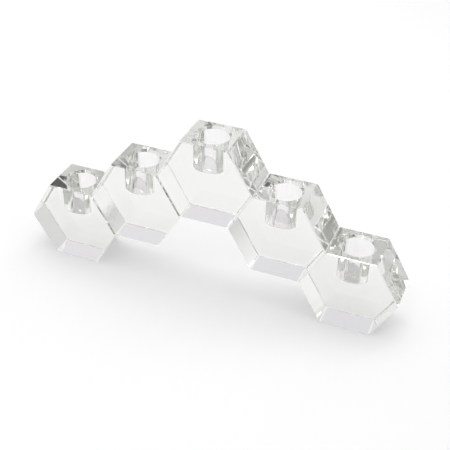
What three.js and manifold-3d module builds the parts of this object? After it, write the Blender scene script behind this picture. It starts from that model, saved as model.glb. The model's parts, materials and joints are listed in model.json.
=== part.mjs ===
// Crystal menorah: five hexagonal blocks of clear optical crystal, bonded side to side into a
// shallow arch. Each block has one candle socket, drilled straight down from its flat top.
//
// Units are millimetres. +Z is up, +X runs along the row of blocks and -Y is the front.
// The origin is on the surface that the menorah stands on, under the middle of the row.

import * as THREE from "three";
import { mergeVertices } from "three/addons/utils/BufferGeometryUtils.js";
import Module from "manifold-3d";

// ---------------------------------------------------------------- driving dimensions

// The blocks, all cut alike.
const ACROSS_FLATS = 60; // flat top to flat bottom
const BLOCK_DEPTH = 33; // front face to back face
const EDGE_CHAMFER = 0.7; // the polished flat on every edge, measured along each face

// The candle sockets.
const SOCKET_DIAMETER = 22;
const SOCKET_DEPTH = 22;
const RIM_CHAMFER = 1.5; // widens the mouth, at 45 degrees
const FLOOR_FILLET = 1; // rounds the corner between the bore and its floor

// The adhesive films that join one block to the next.
const BOND_THICKNESS = 0.2;
const BOND_CLEARANCE = 0.05; // between each side of a film and the polished face it lies on
const BOND_SETBACK = 0.4; // how far the film stops inside the edge chamfers

// How finely the round shapes are divided.
const BORE_SIDES = 64;
const FILLET_STEPS = 4;

// Left to right: where each block stands. Column counts blocks from the middle of the row, and
// rise counts half blocks above the surface.
const BLOCKS = [
  { name: "left_end_block", column: -2, rise: 0 },
  { name: "left_inner_block", column: -1, rise: 1 },
  { name: "centre_block", column: 0, rise: 2 },
  { name: "right_inner_block", column: 1, rise: 1 },
  { name: "right_end_block", column: 2, rise: 0 },
];

// Each film is named for the side of the row it is on, and lies between two neighbours.
const BOND_NAMES = [
  "left_outer_bond",
  "left_inner_bond",
  "right_inner_bond",
  "right_outer_bond",
];

// ---------------------------------------------------------------- sizes that follow

const SIDE_LENGTH = ACROSS_FLATS / Math.sqrt(3);
const SLOPE = Math.PI / 6; // a line between neighbouring centres climbs or falls at 30 degrees
const PITCH = ACROSS_FLATS + BOND_THICKNESS + 2 * BOND_CLEARANCE; // centre to centre
const SOCKET_RADIUS = SOCKET_DIAMETER / 2;
const MOUTH_RADIUS = SOCKET_RADIUS + RIM_CHAMFER;
const DRILL_OVERRUN = 2; // the cutting shape runs this far out of the top

// ---------------------------------------------------------------- solids

const wasm = await Module();
wasm.setup();

/** A closed three.js geometry as a solid that can be cut. */
function solidFrom(geometry) {
  const bare = geometry.clone();
  bare.deleteAttribute("normal");
  bare.deleteAttribute("uv");
  const merged = mergeVertices(bare, 1e-4);
  const vertProperties = new Float32Array(merged.attributes.position.array);
  const triVerts = new Uint32Array(merged.index.array);
  return new wasm.Manifold(new wasm.Mesh({ numProp: 3, vertProperties, triVerts }));
}

/** A cut solid back as a three.js geometry, with one flat normal per triangle. */
function geometryFrom(solid) {
  const mesh = solid.getMesh();
  const geometry = new THREE.BufferGeometry();
  geometry.setAttribute("position", new THREE.BufferAttribute(mesh.vertProperties, 3));
  geometry.setIndex(new THREE.BufferAttribute(mesh.triVerts, 1));
  const flat = geometry.toNonIndexed();
  flat.computeVertexNormals();
  return flat;
}

// ---------------------------------------------------------------- outlines and profiles

/** A corner of the hexagon, counted anticlockwise from the one that points along +X. */
function hexagonCorner(index) {
  const angle = (index * Math.PI) / 3;
  return new THREE.Vector2(SIDE_LENGTH * Math.cos(angle), SIDE_LENGTH * Math.sin(angle));
}

/** A flat-topped hexagon whose six corners are each cut off by the edge chamfer. */
function blockOutline() {
  const points = [];
  for (let index = 0; index < 6; index += 1) {
    const corner = hexagonCorner(index);
    const share = EDGE_CHAMFER / SIDE_LENGTH;
    points.push(corner.clone().lerp(hexagonCorner(index - 1), share));
    points.push(corner.clone().lerp(hexagonCorner(index + 1), share));
  }
  return new THREE.Shape(points);
}

/** Half the socket's section: radius across, height up, with the block's top face at zero. */
function socketProfile() {
  const points = [new THREE.Vector2(0, -SOCKET_DEPTH)];
  for (let step = 0; step <= FILLET_STEPS; step += 1) {
    const angle = (step / FILLET_STEPS) * (Math.PI / 2);
    const radius = SOCKET_RADIUS - FLOOR_FILLET * (1 - Math.sin(angle));
    const height = -SOCKET_DEPTH + FLOOR_FILLET * (1 - Math.cos(angle));
    points.push(new THREE.Vector2(radius, height));
  }
  points.push(new THREE.Vector2(SOCKET_RADIUS, -RIM_CHAMFER));
  points.push(new THREE.Vector2(MOUTH_RADIUS, 0));
  points.push(new THREE.Vector2(MOUTH_RADIUS, DRILL_OVERRUN));
  points.push(new THREE.Vector2(0, DRILL_OVERRUN));
  return points;
}

// ---------------------------------------------------------------- the two kinds of piece

/** A hexagonal prism centred on the origin, every edge chamfered, before it is drilled. */
function makePrism() {
  const geometry = new THREE.ExtrudeGeometry(blockOutline(), {
    depth: BLOCK_DEPTH - 2 * EDGE_CHAMFER,
    bevelEnabled: true,
    bevelSegments: 1,
    bevelSize: EDGE_CHAMFER,
    bevelThickness: EDGE_CHAMFER,
    bevelOffset: -EDGE_CHAMFER,
  });
  geometry.translate(0, 0, EDGE_CHAMFER - BLOCK_DEPTH / 2);
  geometry.rotateX(Math.PI / 2);
  return geometry;
}

/** The shape that the drill takes out of the top of a block. */
function makeSocketCutter() {
  const geometry = new THREE.LatheGeometry(socketProfile(), BORE_SIDES);
  geometry.rotateX(Math.PI / 2);
  geometry.translate(0, 0, ACROSS_FLATS / 2);
  return geometry;
}

/** One drilled block, centred on the origin. */
function makeBlock() {
  const prism = solidFrom(makePrism());
  const cutter = solidFrom(makeSocketCutter());
  return geometryFrom(prism.subtract(cutter));
}

/** One film of cured adhesive, thin along X, covering a side of a block inside its chamfers. */
function makeBond() {
  const margin = 2 * (EDGE_CHAMFER + BOND_SETBACK);
  return new THREE.BoxGeometry(BOND_THICKNESS, BLOCK_DEPTH - margin, SIDE_LENGTH - margin);
}

// ---------------------------------------------------------------- materials

const crystal = new THREE.MeshStandardMaterial({ color: 0xf2f5f4, roughness: 0.02, metalness: 0 });
const adhesive = new THREE.MeshStandardMaterial({ color: 0xe6ecea, roughness: 0.15, metalness: 0 });

// ---------------------------------------------------------------- assembly

/** The centre of a block in the row. */
function blockCentre({ column, rise }) {
  const x = column * PITCH * Math.cos(SLOPE);
  const z = ACROSS_FLATS / 2 + rise * PITCH * Math.sin(SLOPE);
  return new THREE.Vector3(x, 0, z);
}

/** Places a named block in the row. */
function placeBlock(block) {
  const mesh = new THREE.Mesh(makeBlock(), crystal.clone());
  mesh.name = block.name;
  mesh.position.copy(blockCentre(block));
  return mesh;
}

/** Places a film halfway between two neighbours, square to the line that joins their centres. */
function placeBond(name, left, right) {
  const from = blockCentre(left);
  const to = blockCentre(right);
  const mesh = new THREE.Mesh(makeBond(), adhesive.clone());
  mesh.name = name;
  mesh.position.copy(from).lerp(to, 0.5);
  mesh.rotation.y = -Math.atan2(to.z - from.z, to.x - from.x);
  return mesh;
}

const menorah = new THREE.Group();
for (const block of BLOCKS) {
  menorah.add(placeBlock(block));
}
BOND_NAMES.forEach((name, index) => {
  menorah.add(placeBond(name, BLOCKS[index], BLOCKS[index + 1]));
});

export default menorah;
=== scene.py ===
# %% [markdown]
# # A crystal menorah
# Five hexagonal blocks of clear optical crystal, bonded side to side into a stepped arch. Each
# block has a candle socket drilled into its flat top. Everything here is in metres, +Z is up,
# +X runs along the row of blocks and -Y is the front. The sizes and places come from the packed
# CAD frame, which this script loads first and never moves.

# %% Load the frame
import json
import math

import bpy
import numpy as np
from mathutils import Matrix, Vector


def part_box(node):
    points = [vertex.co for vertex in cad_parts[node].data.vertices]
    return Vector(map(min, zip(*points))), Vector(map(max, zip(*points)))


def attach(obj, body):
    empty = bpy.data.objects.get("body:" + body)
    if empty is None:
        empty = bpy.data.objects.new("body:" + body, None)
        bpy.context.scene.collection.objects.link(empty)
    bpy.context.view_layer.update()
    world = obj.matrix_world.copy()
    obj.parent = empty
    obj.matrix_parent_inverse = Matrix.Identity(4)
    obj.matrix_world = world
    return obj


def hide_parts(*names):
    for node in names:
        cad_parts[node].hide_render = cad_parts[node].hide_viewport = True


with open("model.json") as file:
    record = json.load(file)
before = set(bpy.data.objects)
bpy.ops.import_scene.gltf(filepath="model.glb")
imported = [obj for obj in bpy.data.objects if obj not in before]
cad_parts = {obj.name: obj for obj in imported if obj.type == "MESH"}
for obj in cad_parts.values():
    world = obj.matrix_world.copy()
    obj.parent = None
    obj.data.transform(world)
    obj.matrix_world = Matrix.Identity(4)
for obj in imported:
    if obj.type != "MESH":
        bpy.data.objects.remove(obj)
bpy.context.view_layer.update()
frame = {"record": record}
MM = 0.001

# %% [markdown]
# ## The camera
# The camera looks down at the blocks from the front and a little to the right, from about 60 cm
# away. At that distance the near end of the row looks clearly larger than the far end, so the
# distance matters as much as the angle. The camera is placed by three angles and a distance from
# a point that it looks at, and the lens is then as long as the framing needs.

# %% Camera
CAMERA_AZIMUTH = math.radians(21.59)
CAMERA_ELEVATION = math.radians(35.35)
CAMERA_ROLL = math.radians(0.86)
CAMERA_DISTANCE = 0.6224
CAMERA_TARGET = Vector((0.0094, 0.0, 0.0503))
CAMERA_LENS_MM = 71.1


def camera_matrix():
    """The camera's axes: back along the line of sight, right level with the floor, up square to
    both, then the picture turned by the roll about the line of sight."""
    azimuth, elevation = CAMERA_AZIMUTH, CAMERA_ELEVATION
    level = math.cos(elevation)
    back = Vector((math.sin(azimuth) * level, -math.cos(azimuth) * level, math.sin(elevation)))
    right = Vector((math.cos(azimuth), math.sin(azimuth), 0.0))
    up = back.cross(right)
    turned_right = right * math.cos(CAMERA_ROLL) + up * math.sin(CAMERA_ROLL)
    turned_up = up * math.cos(CAMERA_ROLL) - right * math.sin(CAMERA_ROLL)
    place = CAMERA_TARGET + back * CAMERA_DISTANCE
    return Matrix.LocRotScale(place, Matrix((turned_right, turned_up, back)).transposed(), None)


def add_camera():
    """A perspective camera on a 36 mm sensor."""
    data = bpy.data.cameras.new("camera")
    data.lens = CAMERA_LENS_MM
    data.sensor_width = 36.0
    data.clip_start = 0.01
    data.clip_end = 50.0
    camera = bpy.data.objects.new("camera", data)
    camera.matrix_world = camera_matrix()
    bpy.context.scene.collection.objects.link(camera)
    bpy.context.scene.camera = camera
    return camera


camera = add_camera()
print("camera at, mm:", [round(c / MM, 1) for c in camera.location])

# %% [markdown]
# ## Reading the sizes
# A block's box gives its height, depth and centre. What the box doesn't show, such as the bore's
# radius, is a named size here, and the depth of each socket is read from the record's mounts,
# which sit on the socket floors.

# %% Sizes
BLOCK_NAMES = [
    "left_end_block",
    "left_inner_block",
    "centre_block",
    "right_inner_block",
    "right_end_block",
]
EDGE_CHAMFER = 0.7 * MM
SOCKET_RADIUS = 11.0 * MM
RIM_CHAMFER = 1.5 * MM
FLOOR_FILLET = 1.0 * MM
BORE_SIDES = 160
FILLET_POINTS = 7


def socket_floor_height(block):
    """The height of a block's socket floor, from the mount that sits on it."""
    wanted = block.replace("_block", "_socket_floor")
    mounts = frame["record"]["mounts"]
    return next(m["pos_m"][2] for m in mounts if m["name"] == wanted)


def block_sizes(block):
    """Centre, distance across flats, depth and socket depth of one block."""
    low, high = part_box(block)
    return {
        "centre": np.array((low + high) / 2),
        "across_flats": high.z - low.z,
        "depth": high.y - low.y,
        "socket_depth": high.z - socket_floor_height(block),
    }


# %% [markdown]
# ## Building meshes from whole arrays
# A surface here is a stack of rings, each with the same number of points. Neighbouring rings are
# stitched with four-sided faces, and the last point of a ring joins its first. A modifier could
# make these shapes too, but a formula gives each point exactly where the sizes say.

# %% Mesh helpers
SHARP_ANGLE = math.radians(20)


def stitched(rows, columns, first=0):
    """Faces between neighbouring rings of points that are numbered ring by ring. Each face takes
    a point, the next point round, and the same two points one ring on."""
    row, column = np.meshgrid(np.arange(rows - 1), np.arange(columns))
    row, column = row.ravel(order="F"), column.ravel(order="F")
    after = (column + 1) % columns
    corners = (row * columns + column, row * columns + after)
    corners += ((row + 1) * columns + after, (row + 1) * columns + column)
    return (np.stack(corners, axis=1) + first).tolist()


def mesh_object(name, points, faces, material):
    """One object at the origin, with its place in its mesh and its faces pointing out."""
    mesh = bpy.data.meshes.new(name)
    mesh.from_pydata(np.asarray(points).tolist(), [], faces)
    mesh.validate()
    mesh.materials.append(material)
    mesh.set_sharp_from_angle(angle=SHARP_ANGLE)
    piece = bpy.data.objects.new(name, mesh)
    bpy.context.scene.collection.objects.link(piece)
    return piece


def mark_faces(piece, name, values):
    """Writes one number per face into an attribute that materials can read."""
    mark = piece.data.attributes.new(name, "FLOAT", "FACE")
    mark.data.foreach_set("value", np.asarray(values, dtype=np.float32))


print("edges sharper than", round(math.degrees(SHARP_ANGLE)), "degrees stay crisp")

# %% [markdown]
# ## Node helpers
# The materials below are made of small calculations on the position of the point being shaded.
# A calculation could be made one node at a time, with a name and a link for each. These helpers
# take a number or another node's output and wire it up, so a formula reads almost as it would on
# paper. A group is used where two materials need the same effect.

# %% Node helpers: groups and sums


def new_group(name, inputs, outputs):
    """An empty shader group with one number socket for each name, and its two end nodes."""
    group = bpy.data.node_groups.new(name, "ShaderNodeTree")
    for label in inputs:
        group.interface.new_socket(label, in_out="INPUT", socket_type="NodeSocketFloat")
    for label in outputs:
        group.interface.new_socket(label, in_out="OUTPUT", socket_type="NodeSocketFloat")
    return group, group.nodes.new("NodeGroupInput"), group.nodes.new("NodeGroupOutput")


def plug(tree, socket, value):
    """Feeds a socket from another node's output, or sets it to a plain value."""
    if isinstance(value, bpy.types.NodeSocket):
        tree.links.new(value, socket)
    else:
        socket.default_value = value


def calculate(tree, operation, *values):
    """One Math node, whose inputs are numbers or other nodes' outputs."""
    node = tree.nodes.new("ShaderNodeMath")
    node.operation = operation
    for socket, value in zip(node.inputs, values):
        plug(tree, socket, value)
    return node.outputs[0]


def ramp(tree, value, start, end, low=0.0, high=1.0):
    """Goes smoothly from low to high while value goes from start to end, and stays there."""
    node = tree.nodes.new("ShaderNodeMapRange")
    node.interpolation_type = "SMOOTHSTEP"
    for label, setting in (("Value", value), ("From Min", start), ("From Max", end)):
        plug(tree, node.inputs[label], setting)
    node.inputs["To Min"].default_value = low
    node.inputs["To Max"].default_value = high
    return node.outputs["Result"]


print("helpers:", new_group.__name__, plug.__name__, calculate.__name__, ramp.__name__)

# %% Node helpers: position, blotches and colour


def object_place(tree):
    """The position of the shaded point in the frame, in metres."""
    return tree.nodes.new("ShaderNodeTexCoord").outputs["Object"]


def height_of(tree, place):
    """The Z of a position."""
    split = tree.nodes.new("ShaderNodeSeparateXYZ")
    tree.links.new(place, split.inputs[0])
    return split.outputs["Z"]


def noise(tree, place, scale, detail=2.0):
    """Soft random blotches from 0 to 1. A scale of 100 makes them about a centimetre across."""
    node = tree.nodes.new("ShaderNodeTexNoise")
    node.inputs["Scale"].default_value = scale
    node.inputs["Detail"].default_value = detail
    tree.links.new(place, node.inputs["Vector"])
    return node.outputs["Fac"]


def face_mark(tree, name):
    """The number that a mesh carries on each face under this name."""
    node = tree.nodes.new("ShaderNodeAttribute")
    node.attribute_name = name
    return node.outputs["Fac"]


def mixed_colour(tree, amount, first, second):
    """The first colour where amount is 0, the second where it is 1."""
    node = tree.nodes.new("ShaderNodeMix")
    node.data_type = "RGBA"
    node.inputs["A"].default_value = (*first, 1.0)
    node.inputs["B"].default_value = (*second, 1.0)
    tree.links.new(amount, node.inputs["Factor"])
    return node.outputs["Result"]


print("helpers:", height_of.__name__, noise.__name__, face_mark.__name__, mixed_colour.__name__)

# %% [markdown]
# ## Where the adhesive wets the crystal
# Clear adhesive bends light almost exactly as crystal does. Where it wets two polished faces they
# vanish, and light goes straight from block to block. Where it failed to spread there is air, and
# the face is a mirror again. The joint could be modelled as one more refracting layer, but such a
# thin gap leaves slivers of air that mirror everything. So a wetted face is given an alpha of 0,
# and each face carries the height above which it is wetted.

# %% Wetting group
WETTING_EDGE = 8 * MM
WETTING_WOBBLE = 2.5 * MM
WETTING_SCALE = 60.0


def wetting_group():
    """Dry is 1 on polished crystal against air and 0 where adhesive wets it. The border is the
    face's wet_above height, moved up and down by blotches, with a soft edge."""
    group, given, out = new_group("wetting", ["Edge", "Wobble"], ["Dry"])
    place = object_place(group)
    wander = calculate(group, "SUBTRACT", noise(group, place, WETTING_SCALE), 0.5)
    shift = calculate(group, "MULTIPLY", wander, given.outputs["Wobble"])
    height = calculate(group, "ADD", height_of(group, place), shift)
    above = calculate(group, "SUBTRACT", height, face_mark(group, "wet_above"))
    below_edge = calculate(group, "MULTIPLY", given.outputs["Edge"], -1.0)
    dry = ramp(group, above, below_edge, given.outputs["Edge"], low=1.0, high=0.0)
    group.links.new(dry, out.inputs["Dry"])
    return group


wetting = wetting_group()


def use_wetting(tree, shader):
    """Puts the wetting group in a material and lets it clear the shader where adhesive wets."""
    mask = tree.nodes.new("ShaderNodeGroup")
    mask.node_tree = wetting
    mask.inputs["Edge"].default_value = WETTING_EDGE
    mask.inputs["Wobble"].default_value = WETTING_WOBBLE
    tree.links.new(mask.outputs["Dry"], shader.inputs["Alpha"])


print("wetting group:", len(wetting.nodes), "nodes")

# %% [markdown]
# ## How the surfaces were worked
# The flat faces are ground and then polished on a lap. The result is almost perfect, but never
# quite flat or quite clear: a faint long wave bends what is seen through it, and a little haze is
# left in patches. The bore is cut by a turning tube drill and polished with a brush, so it keeps
# fine rings and a slight satin. Both finishes come from position alone, as a roughness and a
# height in metres, and the drilled mark on each face says which of the two it has.

# %% Finish group
LAP_WAVE_SCALE = 90.0
LAP_WAVE_HEIGHT = 0.003 * MM
LAP_HAZE = 0.02
DRILL_RING_PITCH = 1.1 * MM
DRILL_RING_HEIGHT = 0.0016 * MM
DRILL_SATIN = (0.02, 0.06)
HAZE_SCALE = 45.0
HAZE_BAND = (0.45, 0.75)
SATIN_BAND = (0.3, 0.7)


def finish_group():
    """Roughness and Height of a lapped face where Drilled is 0 and of a bore where it is 1."""
    group, given, out = new_group("cut_and_polish", ["Drilled"], ["Roughness", "Height"])
    place = object_place(group)
    drilled = given.outputs["Drilled"]
    lapped = calculate(group, "SUBTRACT", 1.0, drilled)

    patches = noise(group, place, HAZE_SCALE, detail=4.0)
    haze = ramp(group, patches, *HAZE_BAND, low=0.0, high=LAP_HAZE)
    satin = ramp(group, patches, *SATIN_BAND, low=DRILL_SATIN[0], high=DRILL_SATIN[1])
    on_faces = calculate(group, "MULTIPLY", haze, lapped)
    roughness = calculate(group, "MULTIPLY_ADD", satin, drilled, on_faces)
    group.links.new(roughness, out.inputs["Roughness"])

    turns = calculate(group, "MULTIPLY", height_of(group, place), 2 * math.pi / DRILL_RING_PITCH)
    rings = calculate(group, "MULTIPLY", calculate(group, "SINE", turns), DRILL_RING_HEIGHT / 2)
    wave = calculate(group, "MULTIPLY", noise(group, place, LAP_WAVE_SCALE), LAP_WAVE_HEIGHT)
    wave_on_faces = calculate(group, "MULTIPLY", wave, lapped)
    height = calculate(group, "MULTIPLY_ADD", rings, drilled, wave_on_faces)
    group.links.new(height, out.inputs["Height"])
    return group


finish = finish_group()
print("finish group:", len(finish.nodes), "nodes")

# %% [markdown]
# ## The crystal
# Optical crystal bends light strongly and takes little out of it. What the eye reads as crystal
# is the room: each polished face either shows the table behind it or, at a low angle, works as a
# perfect mirror. So the material is a clear refracting solid with a real refractive index. The
# faint grey-green of long paths is a volume absorption, which deepens with distance as it does in
# the real glass, and each polished face takes a few hundredths on the way through.

# %% Crystal material
CRYSTAL_IOR = 1.52
FACE_TINT = (0.95, 0.95, 0.945)
# The bore's colour is painted shade: a slightly darker violet that stands in for the shaded table
# seen through the sockets.
BORE_PAINTED_SHADE = (0.95, 0.93, 0.955)
BODY_COLOUR = (0.725, 0.74, 0.69, 1.0)
BODY_DENSITY = 7.0


def use_finish(tree, shader, drilled):
    """Puts the finish group in a material, its roughness straight in and its height as a bump."""
    worked = tree.nodes.new("ShaderNodeGroup")
    worked.node_tree = finish
    plug(tree, worked.inputs["Drilled"], drilled)
    tree.links.new(worked.outputs["Roughness"], shader.inputs["Roughness"])
    bump = tree.nodes.new("ShaderNodeBump")
    bump.inputs["Distance"].default_value = 1.0
    tree.links.new(worked.outputs["Height"], bump.inputs["Height"])
    tree.links.new(bump.outputs["Normal"], shader.inputs["Normal"])


def crystal_material():
    """Clear polished crystal: refraction, a tint at each crossing, a slightly darker violet painted
    shade on the bore walls for the shaded table seen through them, and absorption inside.
    """
    material = bpy.data.materials.new("crystal")
    material.use_nodes = True
    tree = material.node_tree
    glass = tree.nodes["Principled BSDF"]
    glass.inputs["Metallic"].default_value = 0.0
    glass.inputs["IOR"].default_value = CRYSTAL_IOR
    glass.inputs["Transmission Weight"].default_value = 1.0
    drilled = face_mark(tree, "drilled")
    # Drilled faces take the painted bore shade in place of the plain face tint.
    tint = mixed_colour(tree, drilled, FACE_TINT, BORE_PAINTED_SHADE)
    tree.links.new(tint, glass.inputs["Base Color"])
    use_finish(tree, glass, drilled)
    use_wetting(tree, glass)
    absorption = tree.nodes.new("ShaderNodeVolumeAbsorption")
    absorption.inputs["Color"].default_value = BODY_COLOUR
    absorption.inputs["Density"].default_value = BODY_DENSITY
    tree.links.new(absorption.outputs["Volume"], tree.nodes["Material Output"].inputs["Volume"])
    return material


crystal = crystal_material()
print("crystal:", len(crystal.node_tree.nodes), "nodes")

# %% [markdown]
# ## The cut block
# A block is sawn from a bar, ground to a hexagon and given a narrow polished flat on every edge.
# A bevel modifier could cut those flats, but the sizes are known, so the surface is written down
# directly. A flat-topped hexagon with its six corners cut off is carried along the block's depth
# in four rings, and the first and last ring are a little smaller, which gives the flats round the
# front and back faces.

# %% Block outline
OUTLINE_POINTS = 12


def hexagon_outline(across_flats, inset):
    """Twelve points in X and Z, anticlockwise as seen from the front. Each corner of the hexagon
    gives two points, one a chamfer's width along each side, and the whole is moved inwards by
    inset, square to every side."""
    side = across_flats / math.sqrt(3)
    corners = np.radians(np.arange(6) * 60.0)
    corner = side * np.stack((np.cos(corners), np.sin(corners)), axis=1)
    share = EDGE_CHAMFER / side
    before = corner + (np.roll(corner, 1, axis=0) - corner) * share
    after = corner + (np.roll(corner, -1, axis=0) - corner) * share
    ring = np.stack((before, after), axis=1).reshape(OUTLINE_POINTS, 2)
    along = np.roll(ring, -1, axis=0) - ring
    normal = np.stack((along[:, 1], -along[:, 0]), axis=1)
    normal /= np.linalg.norm(normal, axis=1, keepdims=True)
    bisector = normal + np.roll(normal, 1, axis=0)
    length = 2 / np.sum(bisector * bisector, axis=1, keepdims=True)
    return ring - inset * bisector * length


def prism_rings(sizes):
    """Four rings of twelve points: the inset outline on the front face, the full outline a
    chamfer's width behind it, and the same two again at the back."""
    half = sizes["depth"] / 2
    stops = [(-half, EDGE_CHAMFER), (EDGE_CHAMFER - half, 0.0)]
    stops += [(half - EDGE_CHAMFER, 0.0), (half, EDGE_CHAMFER)]
    rings = []
    for y, inset in stops:
        outline = hexagon_outline(sizes["across_flats"], inset)
        rings.append(np.insert(outline, 1, y, axis=1))
    return np.concatenate(rings)


print("points round one block:", len(prism_rings(block_sizes(BLOCK_NAMES[0]))))

# %% [markdown]
# ## The drilled socket
# The socket is a straight blind bore with a 45 degree rim and a small round where the wall meets
# the floor. It could be cut with a boolean modifier, which leaves long thin faces that catch the
# light. Here the bore is a turned profile, and the top face is four flat faces round its mouth.
# All four lie in one plane and share the mouth's own points, so no seam shows.

# %% Socket surface


def top_face(half_x, half_y, corners, mouth):
    """The top face as four flat faces round the hole. Each takes one side of the rectangle, then
    goes back along the part of the mouth between the directions of that side's two corners."""
    quarter = round(math.atan2(half_y, half_x) / (2 * math.pi) * BORE_SIDES)
    half_turn = BORE_SIDES // 2
    stops = [-quarter, quarter, half_turn - quarter, half_turn + quarter, BORE_SIDES - quarter]
    faces = []
    for side in range(4):
        arc = range(stops[side + 1], stops[side] - 1, -1)
        ends = [corners[side], corners[(side + 1) % 4]]
        faces.append(ends + [mouth + step % BORE_SIDES for step in arc])
    return faces


def socket_profile(depth):
    """Radius and height of the socket's wall from its mouth down to the edge of its floor, with
    the top face at height zero: a 45 degree rim, the straight bore, then a quarter circle."""
    turn = np.linspace(0, math.pi / 2, FILLET_POINTS)
    radius = SOCKET_RADIUS - FLOOR_FILLET * (1 - np.cos(turn))
    height = FLOOR_FILLET * (1 - np.sin(turn)) - depth
    mouth = [[SOCKET_RADIUS + RIM_CHAMFER, 0.0], [SOCKET_RADIUS, -RIM_CHAMFER]]
    return np.concatenate((mouth, np.stack((radius, height), axis=1)))


def socket_rings(depth, top):
    """The socket's profile turned about its own axis, one ring of points for each point of it."""
    angles = np.arange(BORE_SIDES) * (2 * math.pi / BORE_SIDES)
    profile = socket_profile(depth)
    circle = np.stack((np.cos(angles), np.sin(angles)), axis=1)
    across = profile[:, 0, None, None] * circle
    height = np.broadcast_to((profile[:, 1] + top)[:, None, None], (len(profile), BORE_SIDES, 1))
    return np.concatenate((across, height), axis=2)


print("rings down one socket:", len(socket_profile(block_sizes(BLOCK_NAMES[0])["socket_depth"])))

# %% [markdown]
# ## Which faces are bonded
# Each face of a block carries two numbers for the materials: whether it was drilled, and the
# height above which adhesive wets it. In
# three of the joints the adhesive filled the gap. In the first it stopped halfway down, which
# leaves a mirror in the lower half.

# %% Marks on the faces
TOP_SIDE = 3  # the side of the outline that runs from its fourth point to its fifth
UPPER_RIGHT, UPPER_LEFT, LOWER_LEFT, LOWER_RIGHT = 1, 5, 7, 11
BONDED_SIDES = {
    "left_end_block": {UPPER_RIGHT: "left_outer_bond"},
    "left_inner_block": {LOWER_LEFT: "left_outer_bond", UPPER_RIGHT: "left_inner_bond"},
    "centre_block": {LOWER_LEFT: "left_inner_bond", LOWER_RIGHT: "right_inner_bond"},
    "right_inner_block": {UPPER_LEFT: "right_inner_bond", LOWER_RIGHT: "right_outer_bond"},
    "right_end_block": {UPPER_LEFT: "right_outer_bond"},
}

# The height above which each joint is wetted. The lower half of the first joint stayed dry.
NEVER_WET, ALWAYS_WET = 1.0, -1.0
WET_ABOVE = {
    "left_outer_bond": 42 * MM,
    "left_inner_bond": ALWAYS_WET,
    "right_inner_bond": ALWAYS_WET,
    "right_outer_bond": ALWAYS_WET,
}


def face_marks(name, side_faces, face_count, bore_faces):
    """The wet_above and drilled numbers of every face. The six big sides lie in one run of faces
    that starts at side_faces and leaves out the top, and the bore's faces come last."""
    wet_above = np.full(face_count, NEVER_WET)
    for side, bond in BONDED_SIDES[name].items():
        wet_above[side_faces + side - (1 if side > TOP_SIDE else 0)] = WET_ABOVE[bond]
    drilled = np.zeros(face_count)
    drilled[-bore_faces:] = 1.0
    return wet_above, drilled


print("wetted above, mm:", {bond: round(z / MM) for bond, z in WET_ABOVE.items()})

# %% Build the blocks


def block_surface(name):
    """Points and faces of one drilled block, with the two marks for each face."""
    sizes = block_sizes(name)
    prism = prism_rings(sizes)
    rings = socket_rings(sizes["socket_depth"], sizes["across_flats"] / 2)
    mouth = len(prism)
    floor = mouth + (len(rings) - 1) * BORE_SIDES

    second, third, last = OUTLINE_POINTS, 2 * OUTLINE_POINTS, 3 * OUTLINE_POINTS
    sides = [face[::-1] for face in stitched(4, OUTLINE_POINTS)]
    del sides[second + TOP_SIDE]
    front_and_back = [list(range(second)), list(range(mouth - 1, last - 1, -1))]
    corners = [second + TOP_SIDE, third + TOP_SIDE, third + TOP_SIDE + 1, second + TOP_SIDE + 1]
    top = top_face(prism[corners[0]][0], prism[corners[1]][1], corners, mouth)
    bore = stitched(len(rings), BORE_SIDES, first=mouth)
    bottom = [list(range(floor, floor + BORE_SIDES))]

    points = np.concatenate((prism, rings.reshape(-1, 3))) + sizes["centre"]
    faces = sides + front_and_back + top + bore + bottom
    marks = face_marks(name, second, len(faces), len(bore + bottom))
    return points, faces, *marks


def build_block(name):
    """The block that stands for a CAD block, riding on the same body."""
    points, faces, wet_above, drilled = block_surface(name)
    piece = mesh_object(name.replace("block", "crystal"), points, faces, crystal)
    mark_faces(piece, "wet_above", wet_above)
    mark_faces(piece, "drilled", drilled)
    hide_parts(name)
    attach(piece, "root")
    return piece


blocks = [build_block(name) for name in BLOCK_NAMES]
for block in blocks:
    print(block.name, len(block.data.vertices), "points,", len(block.data.polygons), "faces")

# %% [markdown]
# ## The adhesive films
# The blocks are held by thin films of clear adhesive that was cured by ultraviolet light. A film
# lies between two polished faces, so almost all that shows of it is its edge. It is built as a
# rounded rectangle carried through the film's thickness, with the edge drawn in halfway, as a
# liquid's edge is when it creeps between two plates. That open edge is where dust settles.

# %% Adhesive material
ADHESIVE_IOR = 1.5
CLEAN_EDGE = (0.97, 0.985, 0.98)
DUSTY_EDGE = (0.82, 0.83, 0.81)
DUST_SCALE = 260.0
DUST_BAND = (0.45, 0.7)


def adhesive_material():
    """Clear cured adhesive. Its open edge has gathered a little dust, in specks and short runs,
    and is less smooth there."""
    material = bpy.data.materials.new("adhesive")
    material.use_nodes = True
    tree = material.node_tree
    glass = tree.nodes["Principled BSDF"]
    glass.inputs["Metallic"].default_value = 0.0
    glass.inputs["IOR"].default_value = ADHESIVE_IOR
    glass.inputs["Transmission Weight"].default_value = 1.0
    dust = ramp(tree, noise(tree, object_place(tree), DUST_SCALE, detail=3.0), *DUST_BAND)
    tree.links.new(mixed_colour(tree, dust, CLEAN_EDGE, DUSTY_EDGE), glass.inputs["Base Color"])
    use_finish(tree, glass, 0.0)
    use_wetting(tree, glass)
    return material


adhesive = adhesive_material()
print("adhesive:", len(adhesive.node_tree.nodes), "nodes")

# %% Adhesive films
BOND_THICKNESS = 0.2 * MM
BOND_SETBACK = 1.1 * MM
BOND_CORNER = 1.5 * MM
MENISCUS = 0.15 * MM
BONDS = {
    "left_outer_bond": ("left_end_block", "left_inner_block"),
    "left_inner_bond": ("left_inner_block", "centre_block"),
    "right_inner_bond": ("centre_block", "right_inner_block"),
    "right_outer_bond": ("right_inner_block", "right_end_block"),
}


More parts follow.
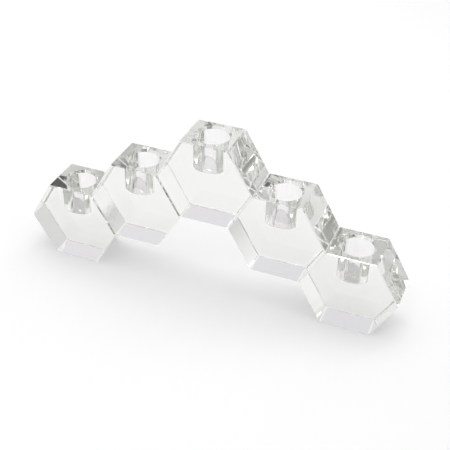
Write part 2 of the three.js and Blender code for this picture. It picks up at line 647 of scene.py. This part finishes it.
def rounded_rectangle(half_x, half_y, radius, steps=8):
    """Points anticlockwise round a rectangle whose corners are quarter circles."""
    turn = np.linspace(0, math.pi / 2, steps)
    centres = np.array([[1, 1], [-1, 1], [-1, -1], [1, -1]]) * (half_x - radius, half_y - radius)
    angles = turn[None, :] + np.arange(4)[:, None] * (math.pi / 2)
    arcs = radius * np.stack((np.cos(angles), np.sin(angles)), axis=2)
    return (centres[:, None, :] + arcs).reshape(-1, 2)


def bond_surface(left, right):
    """Points and faces of a film halfway between two blocks, square to the line between them."""
    from_block, to_block = block_sizes(left), block_sizes(right)
    across = to_block["centre"] - from_block["centre"]
    across /= np.linalg.norm(across)
    deep = np.array([0.0, 1.0, 0.0])
    along = np.cross(across, deep)
    half_side = from_block["across_flats"] / math.sqrt(3) / 2 - BOND_SETBACK
    half_depth = from_block["depth"] / 2 - BOND_SETBACK
    rings = []
    for step, drawn_in in ((-0.5, 0.0), (0.0, MENISCUS), (0.5, 0.0)):
        outline = rounded_rectangle(half_depth - drawn_in, half_side - drawn_in, BOND_CORNER)
        flat = outline[:, :1] * deep + outline[:, 1:] * along
        rings.append(flat + across * step * BOND_THICKNESS)
    count = len(rings[0])
    middle = (from_block["centre"] + to_block["centre"]) / 2
    faces = stitched(3, count)
    faces += [list(range(count - 1, -1, -1)), list(range(2 * count, 3 * count))]
    return np.concatenate(rings) + middle, faces


def build_bond(name):
    """The film that stands for a CAD bond."""
    points, faces = bond_surface(*BONDS[name])
    piece = mesh_object(name.replace("bond", "film"), points, faces, adhesive)
    wet_above = np.full(len(faces), NEVER_WET)
    wet_above[-2:] = WET_ABOVE[name]
    mark_faces(piece, "wet_above", wet_above)
    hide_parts(name)
    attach(piece, "root")
    return piece


films = [build_bond(name) for name in BONDS]
print("films:", [film.name for film in films])

# %% [markdown]
# ## The table
# Clear crystal is lit by lighting what is round it, and most of what a block shows is the table
# behind and under it. It is a matt white sheet, wide enough to run out of the picture on all
# sides. Light also comes up through it, as on a light table, and that glow fades evenly
# towards the table's far edges.

# %% Table
TABLE_HALF = 3.0
TABLE_DROP = 0.05 * MM
TABLE_WHITE = (0.57, 0.57, 0.57, 1.0)
TABLE_GLOW = 0.285
TABLE_ROUGHNESS = 0.9
TABLE_SHINE = 0.1
GLOW_REACH = (0.4, 1.45)
GLOW_CENTRE = (-0.25, 0.15, 0.0)


def glow_mask(tree):
    """1 round the middle of the table, falling evenly to 0 at the far end of its reach."""
    apart = tree.nodes.new("ShaderNodeVectorMath")
    apart.operation = "DISTANCE"
    apart.inputs[1].default_value = GLOW_CENTRE
    tree.links.new(object_place(tree), apart.inputs[0])
    fade = tree.nodes.new("ShaderNodeMapRange")
    fade.inputs["From Min"].default_value = GLOW_REACH[0]
    fade.inputs["From Max"].default_value = GLOW_REACH[1]
    fade.inputs["To Min"].default_value = 1.0
    fade.inputs["To Max"].default_value = 0.0
    tree.links.new(apart.outputs["Value"], fade.inputs["Value"])
    return fade.outputs["Result"]


def table_material():
    """Matt white with almost no shine, lit a little from below."""
    material = bpy.data.materials.new("white_table")
    material.use_nodes = True
    tree = material.node_tree
    surface = tree.nodes["Principled BSDF"]
    surface.inputs["Base Color"].default_value = TABLE_WHITE
    surface.inputs["Roughness"].default_value = TABLE_ROUGHNESS
    surface.inputs["Specular IOR Level"].default_value = TABLE_SHINE
    surface.inputs["Emission Strength"].default_value = TABLE_GLOW
    tree.links.new(glow_mask(tree), surface.inputs["Emission Color"])
    return material


def add_table():
    """A wide flat table top, a hair below the blocks so that glass and table don't share a face."""
    half = TABLE_HALF
    corners = [(-half, -half), (half, -half), (half, half), (-half, half)]
    points = [(x, y, -TABLE_DROP) for x, y in corners]
    table = mesh_object("table", points, [[0, 1, 2, 3]], table_material())
    return table


table = add_table()
print("table:", 2 * TABLE_HALF, "m square")

# %% [markdown]
# ## The studio round the blocks
# A polished block shows a different piece of the room in every face, so the room matters more
# than the lamps. It could be built from walls and lamps, but only the direction of each matters
# here. The sky is therefore a white tent with soft patches laid over it: a bright ceiling, a dim
# room behind the camera, slightly darker walls, one dark corner, and the dark camera with a small
# lamp above it, which puts the white line on the near block's front edge. Only rays that come off
# the crystal or the table see the patches, so the background itself stays plain and pale.

# %% Studio patches
SKY_COLOUR = (1.0, 1.0, 1.0)

# Each patch: azimuth and elevation of its middle, how far from there it starts and stops fading,
# all in degrees, and its colour. Azimuth 0 is behind the row and 90 is to its right.
PATCHES = {
    "ceiling": (0, 74, 16, 32, (3.2, 3.2, 3.2)),
    "room": (175, -20, 52, 68, (0.2, 0.21, 0.19)),
    "back_wall": (-20, 38, 18, 30, (0.85, 0.835, 0.87)),
    "right_wall": (50, 10, 12, 20, (0.8, 0.8, 0.8)),
    "corner": (133, 11, 9, 18, (0.01, 0.01, 0.008)),
    "camera": (-166, 43, 4, 7, (0.01, 0.035, 0.045)),
    "lamp": (-166, 53, 2.5, 5, (14.0, 14.0, 14.0)),
}


def direction_to(azimuth, elevation):
    """A unit vector towards a place in the sky, from two angles in degrees."""
    turn, lift = math.radians(azimuth), math.radians(elevation)
    level = math.cos(lift)
    return (math.sin(turn) * level, math.cos(turn) * level, math.sin(lift))


def patch_mask(tree, direction, middle, inner, outer):
    """1 inside the patch, fading to 0 at its outer edge, from the cosine of the angle between
    the ray's direction and the patch's middle."""
    cosine = tree.nodes.new("ShaderNodeVectorMath")
    cosine.operation = "DOT_PRODUCT"
    cosine.inputs[1].default_value = middle
    tree.links.new(direction, cosine.inputs[0])
    start, end = math.cos(math.radians(outer)), math.cos(math.radians(inner))
    return ramp(tree, cosine.outputs["Value"], start, end)


print("patches:", ", ".join(PATCHES))

# %% Studio sky


def add_sky():
    """A white sky with each patch of the room laid over it in turn. Only the crystal and the
    table see the patches: looked at straight, the background stays plain."""
    world = bpy.data.worlds.new("studio")
    bpy.context.scene.world = world
    world.use_nodes = True
    tree = world.node_tree
    direction = tree.nodes.new("ShaderNodeTexCoord").outputs["Generated"]
    colour = None
    for azimuth, elevation, inner, outer, patch_colour in PATCHES.values():
        mask = patch_mask(tree, direction, direction_to(azimuth, elevation), inner, outer)
        laid_over = mixed_colour(tree, mask, SKY_COLOUR, patch_colour)
        if colour is not None:
            tree.links.new(colour, laid_over.node.inputs["A"])
        colour = laid_over
    straight_view = tree.nodes.new("ShaderNodeLightPath").outputs["Is Camera Ray"]
    shown = mixed_colour(tree, straight_view, SKY_COLOUR, SKY_COLOUR)
    tree.links.new(colour, shown.node.inputs["A"])
    tree.links.new(shown, tree.nodes["Background"].inputs["Color"])
    return world


sky = add_sky()
bpy.context.scene.view_settings.view_transform = "Standard"
print("sky:", len(sky.node_tree.nodes), "nodes")

# %% [markdown]
# ## Light paths
# A ray that enters a block can be mirrored inside it many times before it gets out. With the
# usual limit of twelve bounces those paths end black, and dark splinters appear where the crystal
# should sparkle. So the limits are raised.

# %% Light paths
MOST_BOUNCES = 48
cycles = bpy.context.scene.cycles
cycles.max_bounces = MOST_BOUNCES
cycles.glossy_bounces = MOST_BOUNCES
cycles.transmission_bounces = MOST_BOUNCES
cycles.transparent_max_bounces = MOST_BOUNCES
print("most bounces:", cycles.max_bounces)
